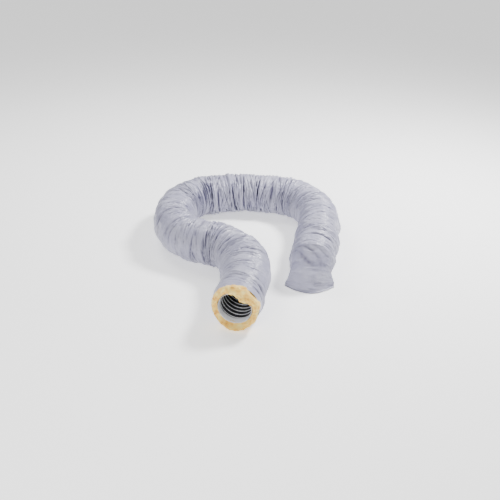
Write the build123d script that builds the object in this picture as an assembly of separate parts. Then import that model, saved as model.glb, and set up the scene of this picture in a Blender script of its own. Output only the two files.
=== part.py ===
"""Flexible air duct: an insulated hose of 6 in bore, lying in a loop on a flat surface.

The duct is five layers, one inside the other: an inner film, a spring-steel wire helix, an
outer film, a glass-wool blanket and a thin vapour jacket. It bends, lifts at its ends and
stretches, so every layer is cut into the same nine lengths, and each length is one rigid body.
Millimetres, +Z up, the duct lies on z = 0 and the origin is the middle of its footprint.
"""
from build123d import *
import math
import os

# Section through the duct: the radii of its layers, from the bore outwards
BORE_RADIUS = 76.0
FILM_THICKNESS = 0.4
WIRE_DIAMETER = 1.6
WIRE_CLEARANCE = 0.2
BLANKET_INNER_RADIUS = 79.2
BLANKET_OUTER_RADIUS = 106.8
JACKET_INNER_RADIUS = 107.2
JACKET_OUTER_RADIUS = 108.0

INNER_PLY_RADIUS = BORE_RADIUS + FILM_THICKNESS
HELIX_RADIUS = INNER_PLY_RADIUS + WIRE_CLEARANCE + WIRE_DIAMETER / 2
OUTER_PLY_BORE = HELIX_RADIUS + WIRE_DIAMETER / 2 + WIRE_CLEARANCE
OUTER_PLY_RADIUS = OUTER_PLY_BORE + FILM_THICKNESS

# The wire helix, and how far its outermost turns keep from the ends of a length
WIRE_PITCH = 25.0
WIRE_END_MARGIN = 6.0

# The centre line on the ground, from the open mouth to the hem of the tail
ROUTE = [
    (-39, -626), (-8, -491), (10, -361), (0, -213), (-94, -83), (-239, -36), (-354, 56),
    (-394, 224), (-372, 379), (-287, 484), (-147, 529), (23, 546), (183, 524), (310, 457),
    (384, 328), (395, 174), (370, 4), (348, -121), (304, -310),
]
CORNER_SHARE = 0.45

# Where the layers end along the centre line: the blanket stands proud of the jacket at the
# mouth, and the jacket hangs over the end of the core and the blanket at the tail
JACKET_SETBACK = 22.0
CORE_SETBACK = 4.0
TAIL_SKIRT = 60.0

# The joints from mouth to tail: kind, distance along the centre line, and the degrees of
# room that the two faces leave on the left and the right of the direction of travel
JOINTS = [
    ("lift", 270.0, 0, 0),
    ("yaw", 520.0, 12, 14),
    ("yaw", 810.0, 12, 7),
    ("yaw", 1110.0, 12, 5),
    ("slide", 1500.0, 0, 0),
    ("yaw", 1850.0, 12, 4),
    ("yaw", 2130.0, 12, 6),
    ("lift", 2420.0, 0, 0),
]
BODIES = [
    "mouth_end", "front_reach", "front_bend", "left_bend", "back_run",
    "back_right", "right_bend", "right_reach", "tail_end",
]
LIFT_ROOM = 25.0
SPARE_ROOM = 1.0
FACE_GAP = 0.25
CUTTER_REACH = 160.0
CUTTER_DEPTH = 12.0


def centre_path():
    """Straight runs joined by tangent arcs, each as large as its two runs allow."""
    points = [Vector(x, y, JACKET_OUTER_RADIUS) for x, y in ROUTE]
    radii = []
    for before, corner, after in zip(points, points[1:], points[2:]):
        turn = math.radians((corner - before).get_angle(after - corner))
        shorter = min((corner - before).length, (after - corner).length)
        radii.append(CORNER_SHARE * shorter / math.tan(turn / 2))
    print("corner radii", [round(radius) for radius in radii])
    return FilletPolyline(*points, radius=radii).wire()


PATH = centre_path()
LENGTH = PATH.length
CORE_END = LENGTH - TAIL_SKIRT
STATIONS = [0.0] + [joint[1] for joint in JOINTS] + [LENGTH]


def place(station):
    """The point of the centre line at a station, its direction and its left-hand side."""
    share = station / LENGTH
    along = PATH.tangent_at(share)
    return PATH.position_at(share), along, Vector(-along.Y, along.X, 0)


def stretch(first, last):
    """The part of the centre line between two stations."""
    return PATH.trim(first / LENGTH, last / LENGTH)


def tube(first, last, inner, outer):
    """One layer between two stations, checked against its section times its length.

    Each run and each arc is swept by itself, so that a straight run is a true cylinder.
    """
    line = stretch(first, last)
    pieces = []
    for edge in line.edges():
        start = Plane(origin=edge @ 0, z_dir=edge % 0)
        pieces.append(sweep(start * (Circle(outer) - Circle(inner)), path=edge))
    solid = pieces[0].fuse(*pieces[1:]) if len(pieces) > 1 else pieces[0]
    expected = math.pi * (outer**2 - inner**2) * line.length
    print(f"  {first:.0f} to {last:.0f}: volume is {solid.volume / expected:.5f} of section times length")
    return solid


def joint_cutter(joint, side):
    """What a joint takes off one of its two faces; side is -1 before the joint, +1 after it."""
    kind, station, left_room, right_room = joint
    point, along, left = place(station)
    into = along * side
    up = Vector(0, 0, 1)
    across, first_room, second_room = left, left_room, right_room
    if kind == "lift":
        across, first_room, second_room = up, LIFT_ROOM, 0
    depths = []
    for room in (first_room, second_room):
        half = math.radians(room + SPARE_ROOM) / 2 if room else 0.0
        depths.append(FACE_GAP + CUTTER_REACH * math.tan(half))
    corners = [
        point + into * FACE_GAP,
        point + across * CUTTER_REACH + into * depths[0],
        point + across * CUTTER_REACH - into * CUTTER_DEPTH,
        point - across * CUTTER_REACH - into * CUTTER_DEPTH,
        point - across * CUTTER_REACH + into * depths[1],
    ]
    face = Face(Polyline(*corners, close=True).wire())
    normal = left if kind == "lift" else up
    return extrude(face, amount=CUTTER_REACH, dir=normal, both=True)


BEFORE, AFTER = -1, 1
CUTTERS = {
    (index, side): joint_cutter(joint, side)
    for index, joint in enumerate(JOINTS)
    for side in (BEFORE, AFTER)
}


def layer(index, inner, outer, first_limit, last_limit):
    """One body's length of a layer, with its joint faces cut."""
    first = max(STATIONS[index], first_limit)
    last = min(STATIONS[index + 1], last_limit)
    solid = tube(first, last, inner, outer)
    if index > 0:
        solid -= CUTTERS[index - 1, AFTER]
    if index < len(JOINTS):
        solid -= CUTTERS[index, BEFORE]
    return solid


def wire_margin(joint_index):
    """How far the wire keeps from a joint, so that its faces can close."""
    kind, _, left_room, right_room = JOINTS[joint_index]
    room = LIFT_ROOM if kind == "lift" else max(left_room, right_room)
    half = math.radians(room + SPARE_ROOM) / 2
    return WIRE_END_MARGIN + HELIX_RADIUS * math.tan(half)


def wire_turns(index):
    """One body's turns of the spring wire: a ring for each turn, square to the centre line."""
    first = CORE_SETBACK + WIRE_END_MARGIN
    last = CORE_END - WIRE_END_MARGIN
    if index > 0:
        first = STATIONS[index] + wire_margin(index - 1)
    if index < len(JOINTS):
        last = STATIONS[index + 1] - wire_margin(index)
    rings = []
    for turn in range(math.ceil(first / WIRE_PITCH), math.floor(last / WIRE_PITCH) + 1):
        point, along, _ = place(turn * WIRE_PITCH)
        ring = Plane(origin=point, z_dir=along) * Torus(HELIX_RADIUS, WIRE_DIAMETER / 2)
        rings.append(ring.solid())
    return Compound(children=rings)


def layers_of(index):
    """Every node of one body, by layer name."""
    return {
        "core_inner_film": layer(index, BORE_RADIUS, INNER_PLY_RADIUS, CORE_SETBACK, CORE_END),
        "spring_wire": wire_turns(index),
        "core_outer_film": layer(index, OUTER_PLY_BORE, OUTER_PLY_RADIUS, CORE_SETBACK, CORE_END),
        "glass_wool_blanket": layer(index, BLANKET_INNER_RADIUS, BLANKET_OUTER_RADIUS, 0.0, CORE_END),
        "vapour_jacket": layer(index, JACKET_INNER_RADIUS, JACKET_OUTER_RADIUS, JACKET_SETBACK, LENGTH),
    }


def main():
    os.makedirs("parts", exist_ok=True)
    print("centre line", round(LENGTH), "mm")
    for index, body in enumerate(BODIES):
        print(body)
        for name, solid in layers_of(index).items():
            export_step(solid, f"parts/{name}_{body}.step")


main()
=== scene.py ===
"""Looks of the insulated flexible duct: a wrinkled film jacket over glass wool and a wire core.

Every layer is one grid of rings and columns round the same smooth route. It is cut into pieces
from the middle of one body to the middle of the next.
"""
import math

import bpy
import numpy as np
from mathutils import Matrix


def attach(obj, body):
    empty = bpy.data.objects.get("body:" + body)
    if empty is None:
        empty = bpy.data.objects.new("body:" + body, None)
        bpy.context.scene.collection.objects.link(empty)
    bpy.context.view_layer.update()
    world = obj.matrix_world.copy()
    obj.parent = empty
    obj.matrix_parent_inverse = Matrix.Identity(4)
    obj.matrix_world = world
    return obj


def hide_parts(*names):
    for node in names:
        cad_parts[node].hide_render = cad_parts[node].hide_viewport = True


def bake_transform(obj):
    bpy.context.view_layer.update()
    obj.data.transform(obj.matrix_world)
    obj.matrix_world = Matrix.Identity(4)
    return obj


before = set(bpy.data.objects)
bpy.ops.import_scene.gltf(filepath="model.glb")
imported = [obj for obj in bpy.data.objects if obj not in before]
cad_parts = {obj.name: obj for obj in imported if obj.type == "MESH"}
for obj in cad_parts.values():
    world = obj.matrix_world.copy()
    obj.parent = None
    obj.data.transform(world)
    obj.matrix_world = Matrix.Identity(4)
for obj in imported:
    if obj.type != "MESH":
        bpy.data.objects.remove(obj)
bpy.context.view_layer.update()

# The duct's route on the floor, from mouth to hem, and its section, in metres
ROUTE = [
    (-0.039, -0.626), (-0.008, -0.491), (0.010, -0.361), (0.000, -0.213), (-0.094, -0.083),
    (-0.239, -0.036), (-0.354, 0.056), (-0.394, 0.224), (-0.372, 0.379), (-0.287, 0.484),
    (-0.147, 0.529), (0.023, 0.546), (0.183, 0.524), (0.310, 0.457), (0.384, 0.328),
    (0.395, 0.174), (0.370, 0.004), (0.348, -0.121), (0.304, -0.310),
]
RADIUS = 0.108
BORE = 0.076
BLANKET_INNER = 0.0792
WIRE_PITCH = 0.025
CORE_END = 2.668
JACKET_START = 0.026
CORE_START = 0.012
FLOOR_GAP = 0.0012

BODIES = [
    "mouth_end", "front_reach", "front_bend", "left_bend", "back_run",
    "back_right", "right_bend", "right_reach", "tail_end",
]
# Where the joints are along the route, and half the length that bends over each of them
JOINT_STATIONS = [0.270, 0.520, 0.810, 1.110, 1.500, 1.850, 2.130, 2.420]
BLEND_HALF = [0.075, 0.065, 0.065, 0.070, 0.120, 0.070, 0.065, 0.075]

random = np.random.default_rng(11)


# ---------------------------------------------------------------- the route

def route_points(per_run=60):
    """The smooth route: a quadratic B-spline with the route's points as control points."""
    points = np.array(ROUTE, float)
    middles = (points[:-1] + points[1:]) / 2
    middles[0], middles[-1] = points[0], points[-1]
    share = np.linspace(0, 1, per_run, endpoint=False)[:, None]
    line = []
    for start, corner, end in zip(middles[:-1], points[1:-1], middles[1:]):
        line.append((1 - share) ** 2 * start + 2 * share * (1 - share) * corner + share**2 * end)
    line.append(points[-1:])
    return np.vstack(line)


LINE = route_points()
LINE_STATIONS = np.r_[0, np.cumsum(np.linalg.norm(np.diff(LINE, axis=0), axis=1))]
LENGTH = LINE_STATIONS[-1]


def place(stations):
    """Centre points, directions, left-hand sides and signed curvature at some stations."""
    stations = np.asarray(stations, float)
    step = 0.004
    centre = np.stack([np.interp(stations, LINE_STATIONS, LINE[:, i]) for i in (0, 1)], 1)
    ends = []
    for shift in (-step, step):
        at = np.clip(stations + shift, 0, LENGTH)
        ends.append(np.stack([np.interp(at, LINE_STATIONS, LINE[:, i]) for i in (0, 1)], 1))
    along = ends[1] - ends[0]
    along /= np.linalg.norm(along, axis=1)[:, None]
    left = np.stack([-along[:, 1], along[:, 0]], 1)
    heading = np.unwrap(np.arctan2(along[:, 1], along[:, 0]))
    curvature = np.gradient(heading, stations) if len(stations) > 2 else np.zeros(len(stations))
    return centre, along, left, curvature


def smooth(x):
    """A ramp from 0 to 1 with soft ends."""
    x = np.clip(x, 0, 1)
    return x * x * (3 - 2 * x)


def noise(stations, angles, along_cell, around_cells):
    """Smooth random values from -1 to 1 on a station-by-angle grid, which close round the tube."""
    rows = int(LENGTH / along_cell) + 4
    table = random.uniform(-1, 1, (rows, around_cells))
    row = np.clip(stations / along_cell, 0, rows - 2.001)
    column = (angles / (2 * math.pi) * around_cells) % around_cells
    row, column = np.broadcast_arrays(row, column)
    low_row, low_column = row.astype(int), column.astype(int) % around_cells
    high_column = (low_column + 1) % around_cells
    down = smooth(row - low_row)
    right = smooth(column - column.astype(int))
    upper = table[low_row, low_column] * (1 - right) + table[low_row, high_column] * right
    lower = table[low_row + 1, low_column] * (1 - right) + table[low_row + 1, high_column] * right
    return upper * (1 - down) + lower * down


def ridges(stations, angles, along_cell, around_cells, level=0.4):
    """Noise folded at zero: rounded ridges with sharp valleys between them, near level on average."""
    return np.abs(noise(stations, angles, along_cell, around_cells)) - level


def angle_gap(a, b):
    """The signed difference of two angles, from -pi to pi."""
    return (a - b + math.pi) % (2 * math.pi) - math.pi


def bell(x):
    """A smooth bump: 1 at 0, and falling to 0 on both sides."""
    return np.exp(-(x**2))


# ---------------------------------------------------------------- materials

def material(name, roughness):
    """A principled material with nodes, and what the other material functions need of it."""
    made = bpy.data.materials.new(name)
    made.use_nodes = True
    shader = made.node_tree.nodes["Principled BSDF"]
    shader.inputs["Roughness"].default_value = roughness
    return made, made.node_tree, shader


def add_noise(tree, scale, detail, stretch=None, uv=False):
    """A noise texture in object space, or along the tube's own UVs, stretched if asked."""
    coordinates = tree.nodes.new("ShaderNodeTexCoord")
    texture = tree.nodes.new("ShaderNodeTexNoise")
    texture.inputs["Scale"].default_value = scale
    texture.inputs["Detail"].default_value = detail
    source = coordinates.outputs["UV" if uv else "Object"]
    if stretch:
        mapping = tree.nodes.new("ShaderNodeMapping")
        mapping.inputs["Scale"].default_value = stretch
        tree.links.new(source, mapping.inputs["Vector"])
        source = mapping.outputs["Vector"]
    tree.links.new(source, texture.inputs["Vector"])
    return texture.outputs["Fac"]


def add_ramp(tree, source, stops):
    """A colour ramp over a value; each stop is a place and a colour."""
    ramp = tree.nodes.new("ShaderNodeValToRGB")
    elements = ramp.color_ramp.elements
    for index, (position, colour) in enumerate(stops):
        element = elements[index] if index < 2 else elements.new(position)
        element.position = position
        element.color = (*colour, 1)
    tree.links.new(source, ramp.inputs["Fac"])
    return ramp.outputs["Color"]


def add_bump(tree, shader, source, strength, distance, below=None):
    """A bump on the shader, on top of another bump if one is given."""
    bump = tree.nodes.new("ShaderNodeBump")
    bump.inputs["Strength"].default_value = strength
    bump.inputs["Distance"].default_value = distance
    tree.links.new(source, bump.inputs["Height"])
    if below is not None:
        tree.links.new(below, bump.inputs["Normal"])
    tree.links.new(bump.outputs["Normal"], shader.inputs["Normal"])
    return bump.outputs["Normal"]


# The point attribute that carries painted shade for the jacket's folds
FOLD_SHADE_ATTRIBUTE = "fold_shade"


def jacket_material():
    """Thin pale lavender-grey film: soft gloss, fine crinkles, faint clouding, and painted shade that
    darkens its folds.
    """
    made, tree, shader = material("jacket_film", 0.31)
    clouds = add_noise(tree, 9, 3)
    stops = [(0.3, (0.310, 0.305, 0.425)), (0.7, (0.430, 0.425, 0.525))]
    fold_shade = tree.nodes.new("ShaderNodeAttribute")
    fold_shade.attribute_name = FOLD_SHADE_ATTRIBUTE
    mix = tree.nodes.new("ShaderNodeMix")
    mix.data_type = "RGBA"
    # A mix node's colour sockets are its inputs 6 and 7 and its output 2
    factor, open_film, fold_shade_colour = mix.inputs[0], mix.inputs[6], mix.inputs[7]
    # Painted shade: deep in the folds the film's colour is mixed towards a near-black violet
    fold_shade_colour.default_value = (0.070, 0.065, 0.120, 1)
    tree.links.new(fold_shade.outputs["Fac"], factor)
    tree.links.new(add_ramp(tree, clouds, stops), open_film)
    tree.links.new(mix.outputs[2], shader.inputs["Base Color"])
    crinkle = add_noise(tree, 1, 4, stretch=(230, 9, 1), uv=True)
    below = add_bump(tree, shader, crinkle, 0.9, 0.0035)
    grain = add_noise(tree, 160, 3)
    add_bump(tree, shader, grain, 0.35, 0.0012, below)
    return made


def wool_material():
    """Yellow glass wool: mottled straw and ochre, matte, with matted fibres."""
    made, tree, shader = material("glass_wool", 0.95)
    mottle = add_noise(tree, 45, 6)
    stops = [(0.30, (0.70, 0.34, 0.05)), (0.46, (0.96, 0.60, 0.12)), (0.68, (1.00, 0.80, 0.27))]
    tree.links.new(add_ramp(tree, mottle, stops), shader.inputs["Base Color"])
    shader.inputs["Sheen Weight"].default_value = 0.25
    fibres = add_noise(tree, 420, 5, stretch=(1, 0.35, 1))
    below = add_bump(tree, shader, fibres, 0.8, 0.003)
    add_bump(tree, shader, add_noise(tree, 110, 4), 0.6, 0.004, below)
    return made


def film_material(name, dark, light):
    """Polyester film of the core: soft gloss with faint crinkles and uneven tone."""
    made, tree, shader = material(name, 0.35)
    tone = add_ramp(tree, add_noise(tree, 30, 3), [(0.3, dark), (0.7, light)])
    tree.links.new(tone, shader.inputs["Base Color"])
    add_bump(tree, shader, add_noise(tree, 190, 3), 0.4, 0.0012)
    return made


def wire_material():
    """Drawn spring steel under a skin of clear film."""
    made, tree, shader = material("spring_wire", 0.3)
    shader.inputs["Metallic"].default_value = 0.2
    stops = [(0.35, (0.52, 0.53, 0.56)), (0.65, (0.76, 0.77, 0.80))]
    tree.links.new(add_ramp(tree, add_noise(tree, 120, 2), stops), shader.inputs["Base Color"])
    add_bump(tree, shader, add_noise(tree, 600, 2), 0.2, 0.0004)
    return made


JACKET_FILM = jacket_material()
GLASS_WOOL = wool_material()
# The core's film in two copies with painted light: near-black as painted shade inside the bore,
# near-white as a painted lit copy at the lip
SHADED_CORE_FILM = film_material("core_film", (0.012, 0.012, 0.014), (0.035, 0.035, 0.04))
LIT_LIP_FILM = film_material("core_lip_film_lit", (0.84, 0.87, 0.93), (0.96, 0.97, 1.00))
SPRING_WIRE = wire_material()


# ---------------------------------------------------------------- grids and pieces

def grid_faces(rows, columns):
    """Quads of a grid of rings, whose last column joins its first."""
    row, column = np.meshgrid(np.arange(rows - 1), np.arange(columns), indexing="ij")
    following = (column + 1) % columns
    corners = [row * columns + column, row * columns + following,
               (row + 1) * columns + following, (row + 1) * columns + column]
    return np.stack(corners, -1).reshape(-1, 4)


def grid_normals(grid):
    """Smooth normals of a whole closed grid, so that its pieces show no seam."""
    along = np.gradient(grid, axis=0)
    around = np.roll(grid, -1, 1) - np.roll(grid, 1, 1)
    normals = np.cross(around, along)
    length = np.linalg.norm(normals, axis=2, keepdims=True)
    return normals / np.maximum(length, 1e-12)


def mesh_object(name, points, faces, finish, uvs=None, normals=None):
    """A shaded mesh object from arrays, with one UV per point if given."""
    mesh = bpy.data.meshes.new(name)
    mesh.from_pydata(points.tolist(), [], faces.tolist())
    mesh.polygons.foreach_set("use_smooth", [True] * len(mesh.polygons))
    if uvs is not None:
        layer = mesh.uv_layers.new(name="UVMap")
        corner_points = np.empty(len(mesh.loops), int)
        mesh.loops.foreach_get("vertex_index", corner_points)
        layer.data.foreach_set("uv", uvs[corner_points].astype(np.float32).ravel())
    mesh.materials.append(finish)
    mesh.update()
    if normals is not None:
        mesh.normals_split_custom_set_from_vertices(normals.tolist())
    made = bpy.data.objects.new(name, mesh)
    bpy.context.collection.objects.link(made)
    return made


def body_middles():
    """The stations where pieces meet: the middles of the bodies between the first and last."""
    return [(a + b) / 2 for a, b in zip(JOINT_STATIONS[:-1], JOINT_STATIONS[1:])]


def bend_over(piece, index):
    """The piece's transform is baked into its mesh; the centre points at the two ends of its joint's
    bend are found but not used.
    """
    station, half = JOINT_STATIONS[index], BLEND_HALF[index]
    centre = place([station - half, station + half])[0]
    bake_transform(piece)


def stands_for(index, layers):
    """The piece replaces the CAD lengths of its layers that start at its own joint."""
    numbers = [0, 1] if index == 0 else [index + 1]
    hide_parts(*[f"{layer}_{BODIES[number]}" for number in numbers for layer in layers])


def layer_pieces(name, stations, grid, finish, layers, folds=None):
    """Cuts a layer's grid at the body middles into pieces and hides the CAD lengths they replace.

    A piece's UVs are its station and how far round the tube it is, and the optional last argument
    is painted shade for each point, darker the deeper it lies in the folds.
    """
    columns = grid.shape[1]
    normals = grid_normals(grid)
    cuts = [0] + [int(np.argmin(abs(stations - at))) for at in body_middles()] + [len(stations) - 1]
    made = []
    for index in range(len(JOINT_STATIONS)):
        rows = slice(cuts[index], cuts[index + 1] + 1)
        part = grid[rows]
        around = np.abs(np.linspace(-1, 1, columns, endpoint=False))
        uvs = np.stack(np.broadcast_arrays(stations[rows][:, None], around[None]), -1)
        piece = mesh_object(
            f"{name}_{index + 1}", part.reshape(-1, 3), grid_faces(len(part), columns), finish,
            uvs.reshape(-1, 2), normals[rows].reshape(-1, 3))
        # Painted shade for the folds, kept on each point as an attribute
        if folds is not None:
            attribute = piece.data.attributes.new(FOLD_SHADE_ATTRIBUTE, "FLOAT", "POINT")
            attribute.data.foreach_set("value", folds[rows].astype(np.float32).ravel())
        bend_over(piece, index)
        stands_for(index, layers)
        made.append(piece)
    return made


def tube_grid(stations, angles, radii):
    """Points of a tube round the route: radii is a station-by-angle array.

    What would go through the floor is pressed flat on it, with a trace of its shape left.
    """
    centre, _, left, _ = place(stations)
    sideways = radii * np.cos(angles)[None]
    grid = np.empty((len(stations), len(angles), 3))
    grid[:, :, 0] = centre[:, :1] + left[:, :1] * sideways
    grid[:, :, 1] = centre[:, 1:] + left[:, 1:] * sideways
    height = RADIUS + radii * np.sin(angles)[None]
    pressed = FLOOR_GAP + 0.045 * np.abs(height - FLOOR_GAP)
    grid[:, :, 2] = np.where(height < FLOOR_GAP, pressed, height)
    return grid


# ---------------------------------------------------------------- the jacket

JACKET_ROWS = 1050
SKIRT_ROWS = 90
JACKET_COLUMNS = 180
CREASE_COUNT = 560
CREASE_REACH = 0.07
FOLD_FLOOR = 0.0920
FOLD_SPAN = 15
FULL_BEND = 5.0
HEM_LINE = 0.066

# The skirt: how far its hem lies ahead of its start, and how much less at both sides and at one
SKIRT_START = 2.640
SKIRT_STRETCH = 3.0
HEM_REACH = 0.126
HEM_SIDES = 0.044
HEM_ONE_SIDE = 0.036

# Lumps and the skirt's ripples: height, length along the tube and number round it
LUMPS = [(0.0050, 0.085, 5), (0.0034, 0.038, 7)]
SKIRT_RIPPLES = [(0.0075, 0.030, 4), (0.0042, 0.013, 9), (0.0022, 0.007, 22)]

# Wrinkles, in sets that share one wavering: its size, length and number round the tube. Then for
# each wrinkle: height, extra height in a bend, length, number round, and share kept at the mouth
WRINKLE_SETS = [
    ((0.014, 0.060, 6), [(0.0062, 0.0, 0.024, 5, 0.0)]),
    ((0.010, 0.035, 8), [
        (0.0034, 0.0012, 0.0105, 9, 0.35), (0.0022, 0.0, 0.016, 30, 0.0), (0.0013, 0.0, 0.007, 40, 1.0),
    ]),
]

# The large folds: station, angle in degrees, reach in radians, width and depth
MAIN_FOLDS = [
    (0.335, 160, 1.3, 0.0040, 0.008), (0.425, 25, 1.5, 0.0060, 0.014), (0.470, 60, 1.0, 0.0040, 0.009),
    (0.560, 75, 1.2, 0.0045, 0.009), (0.630, 90, 1.1, 0.0040, 0.008), (0.900, 130, 1.1, 0.0040, 0.009),
    (1.150, 150, 1.0, 0.0045, 0.010), (1.185, 175, 1.0, 0.0050, 0.013), (1.215, 185, 0.9, 0.0050, 0.014),
    (1.245, 195, 0.9, 0.0050, 0.014), (1.280, 200, 0.9, 0.0050, 0.014), (1.310, 205, 0.9, 0.0045, 0.013),
    (1.390, 190, 1.0, 0.0045, 0.012), (1.440, 205, 0.8, 0.0045, 0.012), (1.540, 190, 1.1, 0.0045, 0.013),
    (1.600, 170, 1.0, 0.0040, 0.009), (1.690, 160, 0.9, 0.0040, 0.008), (2.150, 130, 0.9, 0.0040, 0.010),
    (2.560, 20, 1.1, 0.0050, 0.011), (2.615, 0, 1.0, 0.0050, 0.010),
]
# The large bulges: station, angle in degrees, length, reach in radians and height
BULGES = [
    (0.300, 165, 0.090, 0.9, 0.011), (0.375, 0, 0.030, 0.8, 0.011), (0.520, 10, 0.035, 0.8, 0.007),
    (1.440, 250, 0.050, 0.7, 0.006), (2.410, 180, 0.030, 0.8, 0.009), (2.510, 0, 0.030, 0.8, 0.008),
]


def carve(depth, stations, angles, at, centre, reach, width, deep, lean, wave, phase):
    """Adds one crease: a sharp valley with raised shoulders, leaning and waving round the tube."""
    rows = np.abs(stations - at) < CREASE_REACH
    gap = angle_gap(angles, centre)[None]
    offset = stations[rows][:, None] - at - lean * gap - wave * np.sin(3 * gap + phase)
    window = np.exp(-((gap / reach) ** 4))
    valley = np.exp(-np.abs(offset / width) ** 1.5)
    shoulder = bell((np.abs(offset) - 2.4 * width) / (1.3 * width))
    depth[rows] += window * deep * (0.45 * shoulder - valley)


def crease_depths(stations, angles, curvature):
    """Many random creases, deepest inside the bends, and the large folds and bulges."""
    depth = np.zeros((len(stations), len(angles)))
    bend = np.clip(np.abs(curvature) / FULL_BEND, 0, 1)
    for _ in range(CREASE_COUNT):
        at = random.uniform(0.04, LENGTH - 0.05)
        row = int(np.searchsorted(stations, at)) - 1
        inside = 0.0 if curvature[row] > 0 else math.pi
        sharp = bend[row]
        if random.random() < 0.35 + 0.5 * sharp:
            centre = random.normal(inside, 1.0)
        else:
            centre = random.uniform(0, 2 * math.pi)
        reach = random.uniform(0.35, 1.35)
        width = random.uniform(0.0014, 0.0042)
        deep = random.uniform(0.0016, 0.0052) + 0.0100 * sharp * random.random() ** 2
        lean = random.normal(0, 0.018)
        wave = random.uniform(0.001, 0.004)
        phase = random.uniform(0, 6.28)
        carve(depth, stations, angles, at, centre, reach, width, deep, lean, wave, phase)
    for at, degrees, reach, width, deep in MAIN_FOLDS:
        lean = random.normal(0, 0.010)
        phase = random.uniform(0, 6.28)
        carve(depth, stations, angles, at, math.radians(degrees), reach, width, deep, lean, 0.003, phase)
    for at, degrees, length, reach, height in BULGES:
        gap = angle_gap(angles, math.radians(degrees))[None]
        offset = stations[:, None] - at
        depth += height * bell(offset / length) * bell(gap / reach)
    return depth


def skirt_shape(grid, stations, angles):
    """The empty end of the jacket falls over the core's end and lies flat on the floor."""
    centre, along, left, _ = place([SKIRT_START, LENGTH])
    origin, ahead, aside = centre[0], along[0], left[0]
    sideways = np.cos(angles)
    hem = HEM_REACH - HEM_SIDES * sideways**2 - HEM_ONE_SIDE * np.maximum(sideways, 0) ** 2
    drawn_out = (stations[:, None] - SKIRT_START) * SKIRT_STRETCH
    ripples = np.zeros((len(stations), len(angles)))
    for height, length, count in SKIRT_RIPPLES:
        ripples += height * ridges(drawn_out, angles[None], length, count, level=0.3)
    upper = np.sin(angles) > 0
    for row in np.where(stations >= SKIRT_START)[0]:
        share = (stations[row] - SKIRT_START) / (stations[-1] - SKIRT_START)
        side = (grid[row, :, :2] - place([stations[row]])[0][0]) @ aside
        quick_start = math.sin(math.pi / 2 * min(1, share * 1.6))
        forward = hem * (0.42 * quick_start + 0.58 * share**1.7)
        fall = 1 - 0.985 * smooth((share - 0.10) / 0.86)
        neck = 0.09 * math.sin(math.pi * min(1, share * 1.25))
        flare = 0.095 * smooth((share - 0.45) / 0.55)
        side = side * (1 - neck + flare)
        ripple = ripples[row] * smooth(share / 0.25) * (1 - 0.7 * share**3)
        grid[row, :, :2] = origin + ahead * (forward + ripple)[:, None] + aside * side[:, None]
        grid[row, :, 2] = np.maximum(grid[row, :, 2] * fall, FLOOR_GAP)
        grid[row, upper, 2] += 0.0015 * share + np.abs(ripple[upper]) * 0.5


def jacket_grid():
    """The loose film sleeve with its lumps, folds and fine wrinkles, calm beside the mouth."""
    stations = np.r_[np.linspace(JACKET_START, SKIRT_START, JACKET_ROWS),
                     np.linspace(SKIRT_START, LENGTH, SKIRT_ROWS)[1:]]
    angles = np.linspace(0, 2 * math.pi, JACKET_COLUMNS, endpoint=False)
    curvature = place(stations)[3]
    curvature = np.convolve(np.pad(curvature, 12, mode="edge"), np.ones(25) / 25, "valid")
    s, a = stations[:, None], angles[None]
    calm = smooth((s - 0.03) / 0.06)
    bend = np.clip(np.abs(curvature) / FULL_BEND, 0, 1)[:, None]
    radii = np.full((len(stations), len(angles)), RADIUS - 0.0005)
    for height, length, count in LUMPS:
        radii += height * noise(s, a, length, count) * calm
    for (shift, shift_length, shift_count), wrinkles in WRINKLE_SETS:
        warp = shift * noise(s, a, shift_length, shift_count)
        for height, extra, length, count, kept in wrinkles:
            strength = (height + extra * bend) * (kept + (1 - kept) * calm)
            radii += strength * ridges(s + warp, a, length, count)
    radii += crease_depths(stations, angles, curvature) * calm
    hem_side = smooth((np.cos(a - 2.6) + 0.5) / 1.5)
    radii -= 0.0040 * bell((s - HEM_LINE) / 0.004) * hem_side
    radii -= 0.0040 * (1 - smooth((s - JACKET_START) / 0.03))
    radii = np.maximum(radii, FOLD_FLOOR)
    grid = tube_grid(stations, angles, radii)
    skirt_shape(grid, stations, angles)
    # The third value is painted shade for the folds
    return stations, grid, painted_fold_shade(radii)


def painted_fold_shade(radii):
    """Painted shade for the folds: from 0 on the open film to 1 deep in a crease, darkening the film's
    colour there.
    """
    window = 2 * FOLD_SPAN + 1
    padded = np.pad(radii, ((FOLD_SPAN, FOLD_SPAN), (0, 0)), mode="edge")
    sums = np.cumsum(np.vstack([np.zeros((1, radii.shape[1])), padded]), axis=0)
    mean = (sums[window:] - sums[:-window]) / window
    return np.clip((mean - radii - 0.0004) / 0.0050, 0, 1) ** 1.1 * 0.92


def make_jacket():
    """The jacket's pieces, cut from one grid of the film."""
    # The third value is painted shade for the folds, passed on to the pieces
    stations, grid, folds = jacket_grid()
    layers = ["vapour_jacket"]
    pieces = layer_pieces("jacket", stations, grid, JACKET_FILM, layers, folds)


# ---------------------------------------------------------------- the glass wool

FLAP_ANGLE = math.radians(117)
FLAP_DISTANCE = 0.050
LOWER_LIP_ANGLE = math.radians(262)
WOOL_RADIUS = RADIUS - 0.0050
WOOL_INSIDE = BLANKET_INNER + 0.002
FLUFF_END = 0.060
FLUFF_FADE = 0.032
DRAWN_IN = 0.0130


def wool_profile(angles):
    """The cut face's inner edge, and its rings: how far back, and how far out, at each angle."""
    ragged = FLAP_DISTANCE + 0.004 * np.sin(5 * angles) + 0.0025 * np.sin(17 * angles + 1)
    chord = ragged / np.maximum(np.cos(angle_gap(angles, FLAP_ANGLE)), 0.2)
    inner = np.minimum(BLANKET_INNER - 0.0042, chord)
    rings = []
    for share in np.linspace(0, 1, 26):
        swell = math.sin(math.pi * share)
        rings.append((0.010 * (1 - swell) ** 2 + 0.001, inner * (1 - share) + WOOL_RADIUS * share))
    return inner, rings


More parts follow.
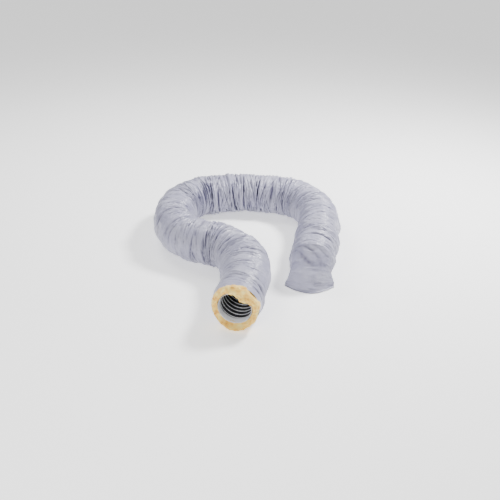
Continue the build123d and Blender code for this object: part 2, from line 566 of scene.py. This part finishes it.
def make_wool():
    """The blanket: its outside, its fluffy cut face with a flap over the bore, and its inside."""
    angles = np.linspace(0, 2 * math.pi, 320, endpoint=False)
    inner, face = wool_profile(angles)
    outer = np.full(len(angles), WOOL_RADIUS)
    inside = [(at, np.full(len(angles), WOOL_INSIDE)) for at in (0.045, 0.030)]
    inside.append((0.016, (inner + WOOL_INSIDE) / 2))
    back = [(at, outer) for at in np.arange(0.014, FLUFF_END, 0.004)]
    profile = inside + face + back
    rest = np.arange(0.070, CORE_END, 0.014)
    stations = np.r_[[at for at, _ in profile], rest]
    radii = np.vstack([radius for _, radius in profile] + [outer] * len(rest))
    s, a = stations[:, None], angles[None]
    order = np.arange(len(stations))[:, None] * 0.0030
    fluff = smooth((FLUFF_END - s) / FLUFF_FADE)
    rim = smooth((radii - 0.085) / 0.018)
    lumps = (0.0018 + 0.0050 * rim) * noise(order, a, 0.030, 13)
    lumps += 0.0020 * noise(order, a, 0.009, 50) + 0.0014 * noise(order, a, 0.0045, 120)
    radii = radii + fluff * lumps
    radii -= (1 - fluff) * DRAWN_IN * rim
    grid = tube_grid(stations, angles, radii)
    lower_lip = bell(angle_gap(a, LOWER_LIP_ANGLE) / 0.75) * smooth((radii - 0.078) / 0.018)
    flap = bell(angle_gap(a, FLAP_ANGLE) / 0.6) * (1 - smooth((radii - 0.055) / 0.03))
    forward = 0.006 * noise(order, a, 0.03, 14) + 0.003 * noise(order, a, 0.009, 50)
    forward += 0.0022 * noise(order, a, 0.0045, 130) + 0.020 * lower_lip + 0.009 * flap
    forward *= fluff
    _, along, _, _ = place(stations)
    grid[:, :, :2] -= along[:, None] * np.maximum(forward, -0.004)[:, :, None]
    # The rings of the cut face go back and forth, so the cutting goes by these stations instead
    in_order = np.r_[np.linspace(-0.02, FLUFF_END, len(profile)), rest]
    layers = ["glass_wool_blanket"]
    for piece in layer_pieces("blanket", in_order, grid, GLASS_WOOL, layers):
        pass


# ---------------------------------------------------------------- the core

def make_core_film():
    """The core's film, drawn in between the turns of the wire."""
    stations = np.arange(CORE_START, CORE_END, 0.0031)
    angles = np.linspace(0, 2 * math.pi, 96, endpoint=False)
    s, a = stations[:, None], angles[None]
    phase = s / WIRE_PITCH - a / (2 * math.pi)
    bulge = 0.0022 * np.abs(np.sin(math.pi * phase)) ** 0.8
    radii = BORE + bulge + 0.0004 * noise(s, a, 0.012, 30)
    grid = tube_grid(stations, angles, radii)
    layers = ["core_inner_film", "core_outer_film"]
    # The film inside the bore is painted near-black to stand for shade
    layer_pieces("core_film", stations, grid, SHADED_CORE_FILM, layers)


def make_wire():
    """The spring wire: one true helix, cut into lengths at the body middles."""
    per_turn, sides, thick = 40, 8, 0.0021
    first, last = CORE_START + 0.022, CORE_END - 0.01
    stations = np.linspace(first, last, int((last - first) / WIRE_PITCH * per_turn))
    centre, along, left, _ = place(stations)
    turn = 2 * math.pi * stations / WIRE_PITCH
    outward = np.stack([left[:, 0] * np.cos(turn), left[:, 1] * np.cos(turn), np.sin(turn)], 1)
    axis = np.stack([along[:, 0], along[:, 1], np.zeros(len(along))], 1)
    middle = np.c_[centre, np.full(len(centre), RADIUS)] + outward * (BORE - 0.0002)
    ring = np.linspace(0, 2 * math.pi, sides, endpoint=False)
    section = (outward[:, None] * np.cos(ring)[None, :, None]
               + axis[:, None] * np.sin(ring)[None, :, None])
    grid = middle[:, None] + thick * section
    layer_pieces("wire", stations, grid, SPRING_WIRE, ["spring_wire"])


def make_lip():
    """The end of the core's film beyond the first turn of wire, painted near-white as a lit copy of the
    film.
    """
    stations = np.linspace(0.003, 0.036, 12)
    angles = np.linspace(0, 2 * math.pi, 160, endpoint=False)
    s, a = stations[:, None], angles[None]
    radii = 0.0733 + 0.0010 * noise(s, a, 0.015, 14) + 0.0008 * smooth((0.012 - s) / 0.009)
    grid = tube_grid(stations, angles, radii)
    faces = grid_faces(len(stations), len(angles))
    lip = mesh_object("core_lip", grid.reshape(-1, 3), faces, LIT_LIP_FILM)
    solid = lip.modifiers.new("thickness", "SOLIDIFY")
    solid.thickness = 0.0006
    bpy.context.view_layer.objects.active = lip
    with bpy.context.temp_override(object=lip, active_object=lip):
        bpy.ops.object.modifier_apply(modifier="thickness")
    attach(lip, "mouth_end")


# ---------------------------------------------------------------- the stage

FLOOR_HALF = 30.0
# Lights: name, place, width and power
LIGHTS = [
    ("key", (1.7, 0.9, 2.4), 0.6, 190),
    ("fill", (-1.2, -2.8, 1.8), 1.2, 50),
    ("top", (-1.4, 1.6, 2.8), 1.4, 60),
]
CAMERA_PLACE = (0.027, -2.720, 1.604)
CAMERA_TILT = math.radians(60)
CAMERA_LENS = 43.9


def make_floor():
    """A wide white floor that glows a little, as a lit studio sweep does."""
    mesh = bpy.data.meshes.new("floor")
    corners = [(x * FLOOR_HALF, y * FLOOR_HALF, 0) for x, y in ((-1, -1), (1, -1), (1, 1), (-1, 1))]
    mesh.from_pydata(corners, [], [(0, 1, 2, 3)])
    floor = bpy.data.objects.new("floor", mesh)
    bpy.context.collection.objects.link(floor)
    white, _, shader = material("floor_white", 0.9)
    shader.inputs["Base Color"].default_value = (0.95, 0.95, 0.95, 1)
    shader.inputs["Emission Color"].default_value = (1, 1, 1, 1)
    shader.inputs["Emission Strength"].default_value = 0.70
    mesh.materials.append(white)


def make_lights():
    """Soft area lights that face the duct, and a white surrounding."""
    world = bpy.data.worlds.new("studio")
    bpy.context.scene.world = world
    world.use_nodes = True
    surrounding = world.node_tree.nodes["Background"]
    surrounding.inputs["Color"].default_value = (1, 1, 1, 1)
    surrounding.inputs["Strength"].default_value = 0.50
    for name, where, width, power in LIGHTS:
        lamp = bpy.data.lights.new(name, "AREA")
        lamp.size = width
        lamp.energy = power
        holder = bpy.data.objects.new(name, lamp)
        holder.location = where
        aim = -holder.location
        holder.rotation_mode = "QUATERNION"
        holder.rotation_quaternion = aim.to_track_quat("-Z", "Y")
        bpy.context.collection.objects.link(holder)


def make_camera():
    """The camera, above and in front of the mouth."""
    lens = bpy.data.cameras.new("camera")
    lens.lens = CAMERA_LENS
    lens.sensor_width = 36.0
    camera = bpy.data.objects.new("camera", lens)
    camera.location = CAMERA_PLACE
    camera.rotation_euler = (CAMERA_TILT, 0, 0)
    bpy.context.collection.objects.link(camera)
    bpy.context.scene.camera = camera


make_floor()
make_lights()
make_camera()
make_jacket()
make_wool()
make_core_film()
make_wire()
make_lip()
